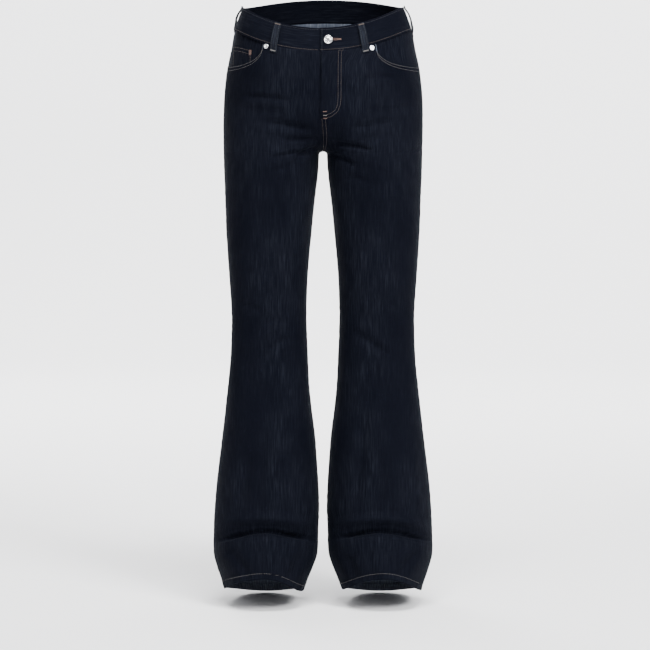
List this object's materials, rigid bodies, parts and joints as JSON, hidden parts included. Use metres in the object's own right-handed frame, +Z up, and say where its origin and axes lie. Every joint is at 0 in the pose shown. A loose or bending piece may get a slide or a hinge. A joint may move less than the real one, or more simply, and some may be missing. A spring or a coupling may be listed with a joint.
{
  "type": "flared jeans",
  "caption": "Flared jeans in worn shape, hollow, open at waist and hems, with waistband, belt loops, button, fly front, scooped front pockets, back yoke and patch pockets.",
  "frame": {"origin": "middle of the waist opening, where the wearer's waist holds the jeans up", "axes": "+Z up along the legs, the front faces -Y, the wearer's left is +X"},
  "size_m": [0.4026, 0.2624, 1.1062],
  "materials": {
    "denim": "very dark rinsed indigo twill, soft, dry sheen",
    "button_metal": "bright silvery metal with soft edges",
    "thread": "rust-brown sewing thread, dull"
  },
  "bodies": {
    "root": {"front_left": "denim", "back_left": "denim", "yoke_left": "denim", "hem_left": "denim", "pocket_facing_left": "denim", "back_pocket_left": "denim", "rivet_left": "button_metal", "front_right": "denim", "back_right": "denim", "yoke_right": "denim", "hem_right": "denim", "pocket_facing_right": "denim", "back_pocket_right": "denim", "rivet_right": "button_metal", "waistband": "denim", "fly_shield": "denim", "coin_pocket": "denim", "button": "button_metal", "belt_loop_front_right": "denim", "belt_loop_front_left": "denim", "belt_loop_side_right": "denim", "belt_loop_side_left": "denim", "belt_loop_back": "denim"}
  },
  "joints": []
}
